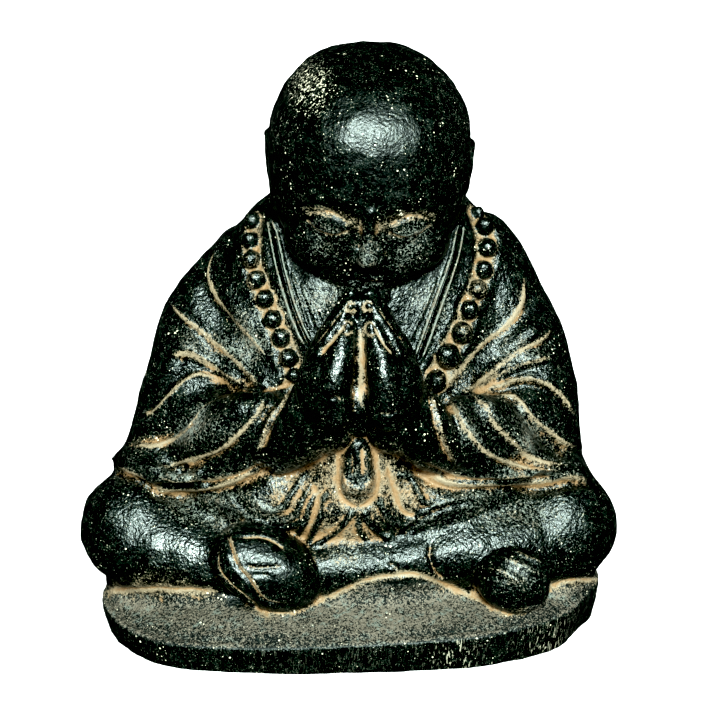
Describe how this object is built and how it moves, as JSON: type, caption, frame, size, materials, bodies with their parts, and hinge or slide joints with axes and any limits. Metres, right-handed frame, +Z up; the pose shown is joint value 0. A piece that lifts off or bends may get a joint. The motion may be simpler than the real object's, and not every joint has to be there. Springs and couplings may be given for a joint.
{
  "type": "monk statue",
  "caption": "Cast stone figure of a seated child monk in prayer, robed and barefoot with a string of beads, on a low rounded slab.",
  "frame": {"origin": "middle of the slab's flat underside", "axes": "+Z up, -Y the way the figure faces, +X to the right of a viewer who faces it"},
  "size_m": [0.1681, 0.1002, 0.184],
  "materials": {
    "cast_stone": "green-black stain, waxed, with a dry tan wash left in the hollows"
  },
  "bodies": {
    "root": {"monk_statue": "cast_stone"}
  },
  "joints": []
}
